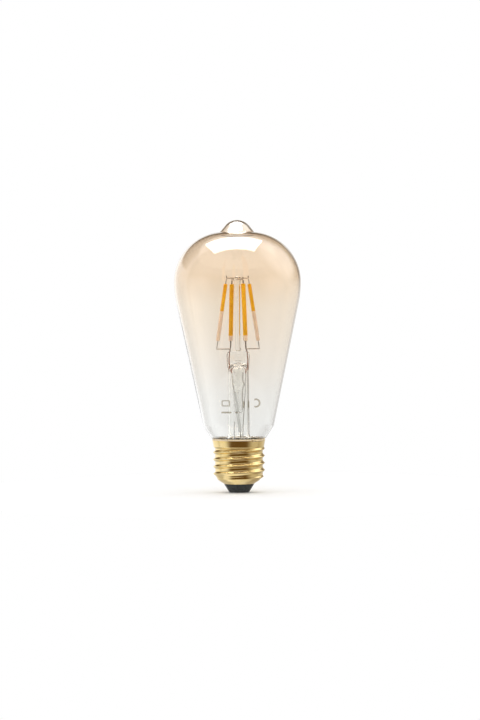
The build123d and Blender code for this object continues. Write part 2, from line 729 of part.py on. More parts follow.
def make_cap():
    neutral = neutral_path()
    pieces["screw_shell"] = screw_shell()
    pieces["cap_insulator"] = cap_insulator()
    pieces["centre_contact"] = centre_contact()
    pieces["neutral_wire"] = rod(neutral, NEUTRAL_RADIUS)
    wire_room = rod(neutral, NEUTRAL_RADIUS + 0.02)
    pieces["basing_cement"] = basing_cement([pieces["screw_shell"], pieces["glass_envelope"], wire_room])
    beside_joint = ("glass_envelope", "screw_shell", "neutral_wire", "basing_cement")
    pieces["rim_solder_joint"] = rim_solder_joint([pieces[name] for name in beside_joint])
    pieces["live_wire"] = live_wire()


def make_driver():
    pieces["driver_board"] = driver_board()
    pieces["filter_capacitor"] = filter_capacitor()
    pieces["inductor_core"] = inductor_core()
    pieces["inductor_winding"] = inductor_winding()
    pieces["fusible_resistor"] = fusible_resistor()
    pieces["bridge_rectifier"] = rear_package(-6.0, 14.2, 3.9, 4.7, 2.5, 2, 1.0, 0.25)
    pieces["driver_chip"] = rear_package(0.8, 14.2, 3.9, 4.9, 1.5, 4, 0.9, 0.2)
    switches = [rear_package(6.3, z, 1.4, 2.9, 1.05, 2, 0.5, 0.15) for z in (12.4, 15.8)]
    pieces["channel_switches"] = Compound(children=switches)
    resistor_places = [(x, 18.3) for x in (-8.0, -5.6, -3.2, 3.4, 5.8, 8.2)]
    pieces["chip_resistors"] = rear_group(resistor_places, 1.6, 0.8, 0.45)
    capacitor_places = [(-1.1, 18.3), (1.3, 18.3), (8.75, 11.2), (8.75, 14.4)]
    pieces["chip_capacitors"] = rear_group(capacitor_places, 2.0, 1.25, 0.9)


def make_radio():
    pieces["wireless_board"] = wireless_board()
    pieces["header_pins"] = header_pins()
    pieces["shield_can"] = shield_can()
    pieces["radio_chip"] = module_part(-1.2, 14.6, 5.0, 5.0, 0.85)
    pieces["timing_crystal"] = module_part(3.0, 15.6, 2.0, 2.5, 0.6)
    pieces["antenna_wire"] = antenna_wire()


make_glass_and_wires()
for filament in range(len(FILAMENT_NAMES)):
    make_filament(filament)
make_outer_leads()
make_cap()
make_driver()
make_radio()

os.makedirs("parts", exist_ok=True)
for name, shape in pieces.items():
    export_step(shape, "parts/" + name + ".step")
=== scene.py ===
import json
import math

import bpy
from mathutils import Matrix, Vector


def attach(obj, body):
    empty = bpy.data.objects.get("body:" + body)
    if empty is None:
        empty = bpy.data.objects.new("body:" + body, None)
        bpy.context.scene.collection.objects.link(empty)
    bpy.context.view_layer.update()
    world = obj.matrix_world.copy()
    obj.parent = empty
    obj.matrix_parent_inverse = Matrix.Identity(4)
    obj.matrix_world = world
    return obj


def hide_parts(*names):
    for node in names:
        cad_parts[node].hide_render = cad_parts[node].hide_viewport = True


# Looks of the smart filament light bulb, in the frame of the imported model.
# Sizes of meshes are in millimetres and are turned into metres when a mesh is made.
# The camera, the overhead light, textures and relief are in metres.

MM = 0.001

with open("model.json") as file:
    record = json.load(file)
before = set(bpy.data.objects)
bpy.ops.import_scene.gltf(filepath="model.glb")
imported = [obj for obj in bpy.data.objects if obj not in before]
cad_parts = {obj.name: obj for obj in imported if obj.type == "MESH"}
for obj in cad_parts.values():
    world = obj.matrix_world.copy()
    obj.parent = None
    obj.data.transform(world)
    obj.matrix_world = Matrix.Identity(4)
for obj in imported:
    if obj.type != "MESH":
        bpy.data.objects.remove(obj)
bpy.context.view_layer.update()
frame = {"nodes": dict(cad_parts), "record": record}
nodes = frame["nodes"]


# ---------------------------------------------------------------- shader helpers
def shader(name):
    """A new material without any nodes, and its node tree."""
    material = bpy.data.materials.new(name)
    material.use_nodes = True
    material.node_tree.nodes.clear()
    return material, material.node_tree


def node(tree, kind, links=None, **settings):
    """Adds a shader node; links maps an input to another node's output or to a plain value."""
    made = tree.nodes.new(kind)
    for key, value in settings.items():
        setattr(made, key, value)
    for key, value in (links or {}).items():
        if isinstance(value, bpy.types.NodeSocket):
            tree.links.new(value, made.inputs[key])
        else:
            made.inputs[key].default_value = value
    return made


def ramp(tree, value, stops):
    """Colour ramp over a 0..1 value; a stop is (position, colour)."""
    made = node(tree, "ShaderNodeValToRGB", {"Fac": value})
    elements = made.color_ramp.elements
    while len(elements) < len(stops):
        elements.new(0.5)
    for element, (position, colour) in zip(elements, stops):
        element.position = position
        element.color = (*colour, 1)
    return made.outputs["Color"]


def maths(tree, operation, *values):
    """One step of arithmetic on plain values or other nodes' outputs."""
    return node(tree, "ShaderNodeMath", dict(enumerate(values)), operation=operation).outputs[0]


def spread(tree, value, low, high, to_low=0.0, to_high=1.0):
    """Maps a value's range onto another, held at the ends."""
    made = node(tree, "ShaderNodeMapRange", {0: value, 1: low, 2: high, 3: to_low, 4: to_high}, clamp=True)
    return made.outputs[0]


def place(tree, stretch=(1, 1, 1)):
    """The point being shaded, in the object's own frame, stretched along each axis."""
    where = node(tree, "ShaderNodeTexCoord").outputs["Object"]
    return node(tree, "ShaderNodeMapping", {"Vector": where, "Scale": stretch}).outputs[0]


def noise(tree, vector, scale, detail=3.0):
    """Soft random pattern, 0..1; the scale is in patches per metre."""
    links = {"Vector": vector, "Scale": scale, "Detail": detail}
    return node(tree, "ShaderNodeTexNoise", links).outputs["Fac"]


def bump(tree, height, distance):
    """Surface relief: the height input's 0..1 stands for the distance in metres."""
    return node(tree, "ShaderNodeBump", {"Height": height, "Distance": distance}).outputs[0]


def principled(tree, **inputs):
    """The main shader, joined to the output; inputs are named with _ for a space."""
    links = {key.replace("_", " "): value for key, value in inputs.items()}
    made = node(tree, "ShaderNodeBsdfPrincipled", links)
    node(tree, "ShaderNodeOutputMaterial", {"Surface": made.outputs[0]})
    return made


def glow(tree, made, colour, strength):
    """Painted glow, a faint light of its own: it stands in for light that thin stuff lets through, or that
    lit phosphor gives back.
    """
    made.inputs["Emission Strength"].default_value = strength
    tree.links.new(colour, made.inputs["Emission Color"])


def multiply(tree, first, second):
    """The product of two colours."""
    links = {0: 1.0, 6: first, 7: second}
    return node(tree, "ShaderNodeMix", links, data_type="RGBA", blend_type="MULTIPLY").outputs[2]


# ---------------------------------------------------------------- materials
SEE_THROUGH_GLOW = 0.24         # painted glow of thin sleeves and insulation, for light they let through
# painted glow of the phosphor, so the filaments look brighter
PHOSPHOR_GLOW = 0.10
GLASS_IOR = 1.5
INK = (0.52, 0.48, 0.41)        # what a printed mark lets through, against clear glass
INK_BARS = (                    # plain dashes, four of them a frame: middle x, middle z, width, height
    (-6.0, 41.3, 5.0, 0.8),
    (-1.0, 41.3, 1.4, 0.8),
    (-6.2, 47.2, 3.6, 0.5),
    (-6.2, 44.6, 3.6, 0.5),
    (-8.1, 45.9, 0.5, 2.6),
    (-4.5, 45.9, 0.5, 2.6),
    (2.6, 45.3, 0.7, 3.4),
    (5.0, 45.3, 0.7, 3.4),
)
INK_RING = (8.6, 45.9, 1.5, 2.3)    # open ring: middle x, middle z, inner and outer radius
INK_EDGE = 0.12                     # half the width of a mark's soft edge
COATING_FOOT = 0.030                # heights between which the coating's tone runs
COATING_TOP = 0.140
COATING_DRIFT = 0.010               # how far uneven coating moves that tone up and down


def ink_marks(tree, where):
    """Plain printed marks low on the front of the glass: an open ring, a frame and dashes, no lettering."""
    links = {0: where, "Scale": 1 / MM}
    millimetres = node(tree, "ShaderNodeVectorMath", links, operation="SCALE").outputs[0]
    parts = node(tree, "ShaderNodeSeparateXYZ", {"Vector": millimetres}).outputs

    def close_to(value, middle, half):
        """1 within a distance of the middle, 0 outside it."""
        away = maths(tree, "ABSOLUTE", maths(tree, "SUBTRACT", value, middle))
        return spread(tree, away, half - INK_EDGE, half + INK_EDGE, 1.0, 0.0)

    marks = 0.0
    for x, z, width, height in INK_BARS:
        beside = close_to(parts["X"], x, width / 2)
        level_with = close_to(parts["Z"], z, height / 2)
        marks = maths(tree, "MAXIMUM", marks, maths(tree, "MULTIPLY", beside, level_with))
    x, z, inner, outer = INK_RING
    across = maths(tree, "SUBTRACT", parts["X"], x)
    up = maths(tree, "SUBTRACT", parts["Z"], z)
    square = maths(tree, "ADD", maths(tree, "MULTIPLY", across, across), maths(tree, "MULTIPLY", up, up))
    ring = close_to(maths(tree, "SQRT", square), (inner + outer) / 2, (outer - inner) / 2)
    ring = maths(tree, "MULTIPLY", ring, maths(tree, "GREATER_THAN", across, -inner / 2))
    marks = maths(tree, "MAXIMUM", marks, ring)
    marks = maths(tree, "MULTIPLY", marks, maths(tree, "LESS_THAN", parts["Y"], 0.0))
    return ramp(tree, marks, [(0.0, (1, 1, 1)), (1.0, INK)])


def amber_glass():
    """Blown glass with an amber coating, strongest on the dome and almost gone above the cap."""
    material, tree = shader("amber_glass")
    where = node(tree, "ShaderNodeTexCoord").outputs["Object"]
    z = node(tree, "ShaderNodeSeparateXYZ", {"Vector": where}).outputs["Z"]
    streak = noise(tree, place(tree, (1, 1, 0.35)), 38, 2.0)
    drift = maths(tree, "MULTIPLY_ADD", streak, COATING_DRIFT, -COATING_DRIFT / 2)
    height = spread(tree, maths(tree, "ADD", z, drift), COATING_FOOT, COATING_TOP)
    coating = ramp(tree, height, [
        (0.00, (0.930, 0.935, 0.925)),
        (0.18, (0.935, 0.928, 0.905)),
        (0.32, (0.945, 0.912, 0.862)),
        (0.44, (0.950, 0.900, 0.830)),
        (0.58, (0.955, 0.890, 0.800)),
        (0.72, (0.962, 0.852, 0.722)),
        (0.90, (0.968, 0.858, 0.735)),
        (1.00, (0.970, 0.935, 0.890)),
    ])
    inked = multiply(tree, coating, ink_marks(tree, where))
    principled(tree, Base_Color=inked, Roughness=0.0, IOR=GLASS_IOR, Transmission_Weight=1.0)
    return material


def clear_glass():
    """Colourless glass with painted shade: a little darker where it is seen edge-on, for the darker room
    seen through its edges.
    """
    material, tree = shader("clear_glass")
    cloud = noise(tree, place(tree), 120)
    tint_and_painted_shade = ramp(tree, cloud, [(0.3, (0.986, 0.992, 0.984)), (0.7, (0.996, 0.998, 0.995))])
    # painted shade, darker towards the edge-on view
    edge_on = node(tree, "ShaderNodeLayerWeight", {"Blend": 0.5}).outputs["Facing"]
    edge = ramp(tree, edge_on, [
        (0.45, (1, 1, 1)),
        (0.80, (0.72, 0.73, 0.68)),
        (1.00, (0.40, 0.40, 0.36)),
    ])
    tint_and_painted_shade = multiply(tree, tint_and_painted_shade, edge)
    principled(tree, Base_Color=tint_and_painted_shade, Roughness=0.0, IOR=GLASS_IOR, Transmission_Weight=1.0)
    return material


def metal(name, light, dark, rough, stretch=(1, 1, 1), scale=900, relief=2e-6):
    """Bare metal: two tones that drift, uneven gloss and fine tool lines along one axis."""
    material, tree = shader(name)
    lines = noise(tree, place(tree, stretch), scale, 2.0)
    cloud = noise(tree, place(tree), 160, 4.0)
    colour = ramp(tree, cloud, [(0.30, dark), (0.62, light)])
    gloss = spread(tree, noise(tree, place(tree), 420, 4.0), 0.3, 0.7, *rough)
    principled(tree, Base_Color=colour, Metallic=1.0, Roughness=gloss, Normal=bump(tree, lines, relief))
    return material


def plastic(name, light, dark, rough, scale=600, relief=3e-6, coat=0.0, specular=0.5, through=0.0):
    """Moulded or coated stuff: slight colour drift, uneven gloss and a fine grain."""
    material, tree = shader(name)
    cloud = noise(tree, place(tree), scale * 0.3, 3.0)
    grain = noise(tree, place(tree), scale, 3.0)
    colour = ramp(tree, cloud, [(0.3, dark), (0.7, light)])
    gloss = spread(tree, grain, 0.3, 0.7, *rough)
    made = principled(tree, Base_Color=colour, Roughness=gloss, Coat_Weight=coat,
                      Specular_IOR_Level=specular, Normal=bump(tree, grain, relief))
    # painted glow, for light let through thin stuff such as wire insulation
    if through:
        glow(tree, made, colour, through)
    return material


def phosphor(name, light, dark):
    """Silicone with phosphor powder in it: soft, slightly see-through, faintly lumpy."""
    material, tree = shader(name)
    lumps = noise(tree, place(tree, (1, 1, 0.5)), 900, 2.0)
    grains = noise(tree, place(tree), 6000, 2.0)
    mixed = maths(tree, "ADD", maths(tree, "MULTIPLY", lumps, 0.65), maths(tree, "MULTIPLY", grains, 0.35))
    colour = ramp(tree, mixed, [(0.35, dark), (0.62, light)])
    made = principled(tree, Base_Color=colour, Roughness=0.38, Subsurface_Weight=0.15,
                      Subsurface_Radius=(1.0, 0.5, 0.15), Subsurface_Scale=0.0004,
                      Coat_Weight=0.25, Coat_Roughness=0.15, Normal=bump(tree, mixed, 3e-5))
    # painted glow that brightens the phosphor
    glow(tree, made, colour, PHOSPHOR_GLOW)
    return material


def circuit_board():
    """Green lacquered laminate with a faint weave and track-like bands."""
    material, tree = shader("circuit_board")
    weave = node(tree, "ShaderNodeTexChecker", {"Vector": place(tree), "Scale": 2200}).outputs["Fac"]
    tracks = noise(tree, place(tree, (1, 1, 0.25)), 260, 1.0)
    colour = ramp(tree, tracks, [(0.48, (0.012, 0.085, 0.035)), (0.53, (0.030, 0.150, 0.065))])
    relief = maths(tree, "ADD", maths(tree, "MULTIPLY", weave, 0.2), tracks)
    principled(tree, Base_Color=colour, Roughness=0.32, Normal=bump(tree, relief, 1.5e-5))
    return material


def fibre_sleeve():
    """Glass-fibre sleeve: two sets of fine threads that cross as they run round the lead."""
    material, tree = shader("glass_fibre_sleeve")
    bands = []
    for slope in (1, -1):
        vector = place(tree, (1, 1, 0.6 * slope))
        links = {"Vector": vector, "Scale": 700, "Distortion": 0.6}
        made = node(tree, "ShaderNodeTexWave", links, wave_type="BANDS", bands_direction="DIAGONAL")
        bands.append(made.outputs["Fac"])
    threads = maths(tree, "MAXIMUM", *bands)
    colour = ramp(tree, threads, [(0.2, (0.92, 0.925, 0.89)), (0.9, (0.985, 0.985, 0.96))])
    made = principled(tree, Base_Color=colour, Roughness=0.6, Normal=bump(tree, threads, 2e-5))
    # painted glow for light let through the thin sleeve
    glow(tree, made, colour, SEE_THROUGH_GLOW)
    return material


METALS = {
    "nickel_wire": dict(light=(0.50, 0.42, 0.36), dark=(0.34, 0.27, 0.23), rough=(0.25, 0.42)),
    "tinned_wire": dict(light=(0.84, 0.83, 0.79), dark=(0.70, 0.69, 0.65), rough=(0.32, 0.48)),
    "copper": dict(light=(0.62, 0.26, 0.17), dark=(0.42, 0.15, 0.10), rough=(0.25, 0.40)),
    "brass_shell": dict(light=(0.94, 0.745, 0.37), dark=(0.88, 0.66, 0.27), rough=(0.14, 0.24),
                        stretch=(0.1, 0.1, 1), scale=2500, relief=1.2e-6),
    "contact_metal": dict(light=(0.66, 0.64, 0.60), dark=(0.50, 0.48, 0.44), rough=(0.28, 0.45),
                          scale=1200, relief=4e-6),
    "solder": dict(light=(0.84, 0.68, 0.42), dark=(0.70, 0.54, 0.31), rough=(0.24, 0.40),
                   scale=700, relief=1e-5),
    "pin_metal": dict(light=(0.85, 0.66, 0.32), dark=(0.72, 0.52, 0.22), rough=(0.2, 0.35)),
    "shield_metal": dict(light=(0.62, 0.60, 0.57), dark=(0.50, 0.48, 0.46), rough=(0.25, 0.4),
                         stretch=(6, 0.3, 0.3), scale=600, relief=3e-6),
    "tab_metal": dict(light=(0.58, 0.53, 0.48), dark=(0.40, 0.36, 0.32), rough=(0.3, 0.5)),
}
PLASTICS = {
    "black_insulator": dict(light=(0.043, 0.047, 0.046), dark=(0.029, 0.032, 0.031), rough=(0.22, 0.34),
                            scale=700, relief=2e-6, specular=0.15),
    "cement": dict(light=(0.80, 0.66, 0.46), dark=(0.66, 0.53, 0.35), rough=(0.75, 0.95),
                   scale=900, relief=6e-5),
    "capacitor_sleeve": dict(light=(0.02, 0.035, 0.10), dark=(0.012, 0.02, 0.06), rough=(0.2, 0.35),
                             scale=500, relief=5e-6, coat=0.2),
    "ferrite": dict(light=(0.075, 0.072, 0.075), dark=(0.045, 0.043, 0.045), rough=(0.5, 0.75),
                    scale=1500, relief=1.5e-5),
    "resistor_body": dict(light=(0.10, 0.30, 0.18), dark=(0.06, 0.22, 0.12), rough=(0.3, 0.5),
                          scale=500, relief=1e-5),
    "chip_moulding": dict(light=(0.028, 0.028, 0.030), dark=(0.016, 0.016, 0.018), rough=(0.45, 0.65),
                          scale=2500, relief=6e-6),
    "chip_ceramic": dict(light=(0.58, 0.43, 0.28), dark=(0.46, 0.33, 0.21), rough=(0.4, 0.6),
                         scale=1500, relief=5e-6),
    # the wire insulation gets a painted glow for light let through it
    "wire_insulation": dict(light=(0.93, 0.92, 0.89), dark=(0.86, 0.85, 0.82), rough=(0.35, 0.5),
                            through=SEE_THROUGH_GLOW),
    "strip_ceramic": dict(light=(0.84, 0.84, 0.81), dark=(0.74, 0.74, 0.71), rough=(0.4, 0.6)),
    "led_chip": dict(light=(0.42, 0.50, 0.62), dark=(0.30, 0.36, 0.48), rough=(0.08, 0.2)),
}
PHOSPHORS = {
    "warm_phosphor": dict(light=(0.96, 0.54, 0.010), dark=(0.88, 0.40, 0.005)),
    "pale_phosphor": dict(light=(0.95, 0.76, 0.60), dark=(0.88, 0.66, 0.51)),
}


def make_materials():
    """Every material, by the name of the slot it is for."""
    made = {
        "amber_glass": amber_glass(),
        "clear_glass": clear_glass(),
        "circuit_board": circuit_board(),
        "glass_fibre_sleeve": fibre_sleeve(),
    }
    for kind, table in ((metal, METALS), (plastic, PLASTICS), (phosphor, PHOSPHORS)):
        for name, looks in table.items():
            made[name] = kind(name, **looks)
    return made


# ---------------------------------------------------------------- mesh helpers
SHARP_ANGLE = 50                # degrees between two faces from which their edge is sharp
AXIS_REACH = 1e-6               # a radius below this counts as a point on the axis


def mesh_piece(name, verts, faces, material):
    """A smooth-shaded mesh object; verts are in millimetres."""
    mesh = bpy.data.meshes.new(name)
    mesh.from_pydata([(x * MM, y * MM, z * MM) for x, y, z in verts], [], faces)
    mesh.update()
    mesh.shade_smooth()
    mesh.set_sharp_from_angle(angle=math.radians(SHARP_ANGLE))
    mesh.materials.append(material)
    made = bpy.data.objects.new(name, mesh)
    bpy.context.scene.collection.objects.link(made)
    return made


def on_circle(centre, radius, degrees):
    """A point of a circle in the half section; zero degrees points away from the axis."""
    angle = math.radians(degrees)
    return centre[0] + radius * math.cos(angle), centre[1] + radius * math.sin(angle)


def arc(centre, radius, start, end, step):
    """Points of a circle from one angle to another, no more than a step of degrees apart."""
    count = max(2, math.ceil(abs(end - start) / step))
    return [on_circle(centre, radius, start + (end - start) * n / count) for n in range(count + 1)]


def rounded(corners, step):
    """A polyline whose corners (x, y, radius) are rounded by arcs; the step is in degrees."""
    points = []
    for n, (x, y, radius) in enumerate(corners):
        if radius == 0 or n in (0, len(corners) - 1):
            points.append((x, y))
            continue
        here = Vector((x, y))
        back = (Vector(corners[n - 1][:2]) - here).normalized()
        ahead = (Vector(corners[n + 1][:2]) - here).normalized()
        half = math.acos(max(-1, min(1, back.dot(ahead)))) / 2
        reach = radius / math.tan(half)
        centre = here + (back + ahead).normalized() * radius / math.sin(half)
        first = here + back * reach - centre
        last = here + ahead * reach - centre
        turn = first.angle_signed(last)
        count = max(2, math.ceil(abs(math.degrees(turn)) / step))
        for k in range(count + 1):
            a = -turn * k / count
            spot = centre + Vector((first.x * math.cos(a) - first.y * math.sin(a),
                                    first.x * math.sin(a) + first.y * math.cos(a)))
            points.append((spot.x, spot.y))
    return points


def inset(points, depth):
    """A half section's outline moved to its left by a depth, point by point."""
    moved = []
    for n, (x, y) in enumerate(points):
        ahead = Vector(points[min(n + 1, len(points) - 1)])
        back = Vector(points[max(n - 1, 0)])
        run = (ahead - back).normalized()
        moved.append((max(0.0, x - depth * -run.y), y + depth * -run.x))
    return moved


def lathe(name, section, material, segments):
    """A turned solid from a half section of (radius, height) points that starts and ends on the axis."""
    verts, rings = [], []
    for radius, z in section:
        if radius < AXIS_REACH:
            rings.append([len(verts)])
            verts.append((0, 0, z))
            continue
        rings.append(list(range(len(verts), len(verts) + segments)))
        for n in range(segments):
            a = 2 * math.pi * n / segments
            verts.append((radius * math.cos(a), radius * math.sin(a), z))
    faces = []
    for upper, lower in zip(rings, rings[1:]):
        for n in range(segments):
            m = (n + 1) % segments
            if len(upper) == 1:
                faces.append((upper[0], lower[n], lower[m]))
            elif len(lower) == 1:
                faces.append((upper[n], lower[0], upper[m]))
            else:
                faces.append((upper[n], lower[n], lower[m], upper[m]))
    return mesh_piece(name, verts, faces, material)


def stands_for(piece, slot, *replaced):
    """The piece rides with the bulb and hides the CAD nodes it stands for; the slot is not used."""
    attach(piece, "root")
    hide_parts(*replaced)


# ---------------------------------------------------------------- glass envelope
TOTAL_HEIGHT = 138.0
GLASS_WALL = 0.9
EQUATOR_RADIUS = 32.1
EQUATOR_Z = 106.6
DOME_RADIUS = 25.3
BELLY_RADIUS = 50.6
FLANK_ANGLE = 11.9
SHOULDER_ANGLE = 33.0
SHOULDER_Z = 33.7
HEEL_Z = 27.05
HEEL_RISE = 0.45
NECK_RADIUS = 11.3
NECK_BOTTOM_Z = 20.2
TIP_RADIUS = 8.0
TIP_FOOT_RADIUS = 8.9
TIP_FOOT_BLEND = 1.5            # radius of the hollow between the tip and the dome
DOME_START = 3.5                # degrees of the dome left free for that hollow
GLASS_STEPS_ROUND = 192


def envelope_outline():
    """Outside of the glass from the tip down to the end of the neck."""
    tip_centre = (0, TOTAL_HEIGHT - TIP_RADIUS)
    dome_centre = (EQUATOR_RADIUS - DOME_RADIUS, EQUATOR_Z)
    belly_centre = (EQUATOR_RADIUS - BELLY_RADIUS, EQUATOR_Z)
    foot_angle = math.degrees(math.acos((TIP_FOOT_RADIUS - dome_centre[0]) / DOME_RADIUS))
    foot = on_circle(dome_centre, DOME_RADIUS, foot_angle)
    rise = foot[1] - tip_centre[1]
    reach = math.hypot(foot[0], rise)
    tangent = math.degrees(math.atan2(rise, foot[0]) + math.acos(TIP_RADIUS / reach))

    tip = arc(tip_centre, TIP_RADIUS, 90, tangent, 4)
    dome = arc(dome_centre, DOME_RADIUS, foot_angle - DOME_START, 0, 1.5)
    belly = arc(belly_centre, BELLY_RADIUS, 0, -FLANK_ANGLE, 1.0)[1:]
    flank_top = belly[-1]
    shoulder_r = flank_top[0] - (flank_top[1] - SHOULDER_Z) * math.tan(math.radians(FLANK_ANGLE))
    heel_z = HEEL_Z + HEEL_RISE
    heel_r = shoulder_r - (SHOULDER_Z - heel_z) * math.tan(math.radians(SHOULDER_ANGLE))
    corners = [(*point, 0) for point in tip]
    corners += [(*foot, TIP_FOOT_BLEND)]
    corners += [(*point, 0) for point in dome + belly]
    corners += [(shoulder_r, SHOULDER_Z, 5.0), (heel_r, heel_z, 0.9), (NECK_RADIUS, HEEL_Z, 0.25)]
    corners += [(NECK_RADIUS, NECK_BOTTOM_Z, 0)]
    return rounded(corners, 4.0)


def add_envelope(materials):
    outside = envelope_outline()
    inside = inset(outside, GLASS_WALL)
    section = outside + inside[::-1]
    piece = lathe("glass_bulb", section, materials["amber_glass"], GLASS_STEPS_ROUND)
    stands_for(piece, "amber_glass", "glass_envelope")


# ---------------------------------------------------------------- brass shell
SHEET = 0.3
ROOT_RADIUS = 12.1
CREST_RADIUS = 13.05
PITCH = 3.629
CREST_AT_X_Z = 7.75             # height of a crest on the side that faces +X
CREST_SHARPNESS = 2.2           # how much narrower the thread's crests are than its valleys
THREAD_START = (6.2, 8.4)       # heights between which the thread rises out of the foot
THREAD_END = (22.3, 24.0)       # heights between which it dies out under the rim
SHELL_BOTTOM_RADIUS = 7.66
SHELL_BOTTOM_Z = 4.4
FOOT_RADIUS = 10.8
FOOT_Z = 6.4
FOOT_BLEND = 3.0
WALL_START_Z = 8.9
WALL_END_Z = 22.4
RIM_NECK_RADIUS = 12.75
RIM_NECK_Z = 23.3
RIM_RADIUS = 13.4
RIM_TOP_Z = 26.6
SHELL_STEPS_ROUND = 240
SHELL_STEP_UP = 0.12


def smooth_step(value, low, high):
    """0 up to the low value, 1 from the high one, and smooth between them."""
    t = max(0.0, min(1.0, (value - low) / (high - low)))
    return t * t * (3 - 2 * t)


def thread_height(z, turn):
    """Height of the rolled thread over its root, from 0 to 1, at a height and a share of a turn."""
    phase = (z - CREST_AT_X_Z) / PITCH - turn
    return (0.5 + 0.5 * math.cos(2 * math.pi * phase)) ** CREST_SHARPNESS


def shell_base():
    """Outside of the shell without its thread, as (radius, height) from the bottom to the rim."""
    corners = [
        (SHELL_BOTTOM_RADIUS, SHELL_BOTTOM_Z, 0),
        (FOOT_RADIUS, FOOT_Z, FOOT_BLEND),
        (ROOT_RADIUS, WALL_START_Z, FOOT_BLEND),
        (ROOT_RADIUS, WALL_END_Z, 0.5),
        (RIM_NECK_RADIUS, RIM_NECK_Z, 1.2),
        (RIM_RADIUS, RIM_TOP_Z, 0),
    ]
    return rounded(corners, 5.0)


def radius_at(outline, z):
    """Radius of an outline of (radius, height) points at a height."""
    for (r0, z0), (r1, z1) in zip(outline, outline[1:]):
        if z0 <= z <= z1:
            return r0 + (r1 - r0) * (z - z0) / max(z1 - z0, 1e-9)
    return outline[-1][0] if z > outline[-1][1] else outline[0][0]


def add_shell(materials):
    """Rolled brass shell: the sheet follows the thread inside and out and flares at the rim."""
    outline = shell_base()
    count = round((RIM_TOP_Z - SHELL_BOTTOM_Z) / SHELL_STEP_UP)
    heights = [SHELL_BOTTOM_Z + (RIM_TOP_Z - SHELL_BOTTOM_Z) * n / count for n in range(count + 1)]
    depth = CREST_RADIUS - ROOT_RADIUS

    def outer(z, turn):
        fade = smooth_step(z, *THREAD_START) * (1 - smooth_step(z, *THREAD_END))
        return radius_at(outline, z) + depth * fade * thread_height(z, turn)

    verts, rows = [], []
    levels = [(z, 0.0) for z in heights] + [(z, SHEET) for z in reversed(heights)]
    for z, wall in levels:
        row = []
        for n in range(SHELL_STEPS_ROUND):
            turn = n / SHELL_STEPS_ROUND
            radius = outer(z, turn) - wall
            angle = 2 * math.pi * turn
            row.append(len(verts))
            verts.append((radius * math.cos(angle), radius * math.sin(angle), z))
        rows.append(row)
    faces = []
    for lower, upper in zip(rows, rows[1:] + rows[:1]):
        for n in range(SHELL_STEPS_ROUND):
            m = (n + 1) % SHELL_STEPS_ROUND
            faces.append((lower[n], lower[m], upper[m], upper[n]))
    piece = mesh_piece("brass_screw_shell", verts, faces, materials["brass_shell"])
    stands_for(piece, "brass_shell", "screw_shell")


# ---------------------------------------------------------------- stage
SENSOR_HEIGHT = 36.0
CAMERA_DISTANCE = 1.2
FRAME_HEIGHT = 0.3647           # what the picture takes in at the bulb, top to bottom
AIM = Vector((0.00096, 0, 0.0671))
CAMERA_ELEVATION = 1.0
CAMERA_ROLL = 0.5
FLOOR_RADIUS = 150.0
FLOOR_Z = -0.05
FLOOR_CORNERS = 96
OVERHEAD_PLACE = Vector((-0.09, 0.23, 1.1))
OVERHEAD_SIZE = (1.05, 0.86)
OVERHEAD_STRENGTH = 7.0
FILL_BELOW = 0.75               # light that matt surfaces get from straight below and above
FILL_ABOVE = 1.45
DARK_STUDIO = (0.13, 0.075, 0.025)      # warm tone of the unlit part of the room in reflections

# Parts of the room in reflections. Angles are in degrees: azimuth counted from the front to either
# side, elevation above the horizon. Each pair is where an edge starts and ends.
SIDES_START = (34, 72)          # azimuth
SIDES_END = (95, 112)
SIDES_DIM = (2, 14)             # elevation from which the sides are dimmer
SIDES_LEVEL = (0.42, 0.45)      # level above that, and what is added below it
BACKDROP_START = (92, 110)      # azimuth
BACKDROP_FOOT = (-30, -8)       # elevation
BACKDROP_LEVEL = (0.50, 0.48)   # level near the floor, and what is added above it
FRONT_FOOT = (6, 20)            # elevation
FRONT_LEVEL = 0.45
BELOW_EDGE = (-60, -42)         # elevation
BELOW_LEVEL = 0.95
STRIP_FOOT = (14, 19)           # a dark strip high behind the bulb: elevation
STRIP_TOP = (40, 47)
STRIP_START = (100, 125)        # azimuth
STRIP_DEPTH = 0.95
PATCH_SIDE = (0.18, 0.40)       # a dark patch behind on the right: share of the direction along X
PATCH_START = (100, 118)        # azimuth
PATCH_FOOT = (-4, 6)            # elevation
PATCH_DEPTH = 0.8               # against the strip
LEFT_TO_RIGHT = (-0.3, 0.4, 1.10, 0.64)     # X from and to, and the room's level at each
WINDOW_DIRECTION = (0.786, 0.249, 0.566)
WINDOW_EDGE = (0.78, 0.98)      # cosine of the angle away from that direction
WINDOW_STRENGTH = 1.4
DARK_OVERHEAD = (20, 28)        # elevation from which the room is seen through the glass


def add_camera():
    camera = bpy.data.cameras.new("camera")
    camera.sensor_fit = "VERTICAL"
    camera.sensor_height = SENSOR_HEIGHT
    camera.lens = SENSOR_HEIGHT * CAMERA_DISTANCE / FRAME_HEIGHT
    camera.clip_start = 0.01
    made = bpy.data.objects.new("camera", camera)
    lift = math.radians(CAMERA_ELEVATION)
    made.location = AIM + CAMERA_DISTANCE * Vector((0, -math.cos(lift), math.sin(lift)))
    look = (AIM - made.location).to_track_quat("-Z", "Y").to_matrix().to_4x4()
    roll = Matrix.Rotation(math.radians(-CAMERA_ROLL), 4, "Z")
    made.matrix_world = Matrix.Translation(made.location) @ look @ roll
    bpy.context.scene.collection.objects.link(made)
    bpy.context.scene.camera = made


def add_overhead():
    """A wide soft light over the bulb, seen in the dome; it adds nothing to matt surfaces."""
    light = bpy.data.lights.new("overhead", "AREA")
    light.shape = "RECTANGLE"
    light.size, light.size_y = OVERHEAD_SIZE
    light.energy = OVERHEAD_STRENGTH * OVERHEAD_SIZE[0] * OVERHEAD_SIZE[1] * math.pi
    made = bpy.data.objects.new("overhead", light)
    made.location = OVERHEAD_PLACE
    made.rotation_euler = Vector((0, 0, -1)).to_track_quat("-Z", "Y").to_euler()
    made.visible_diffuse = False
    bpy.context.scene.collection.objects.link(made)


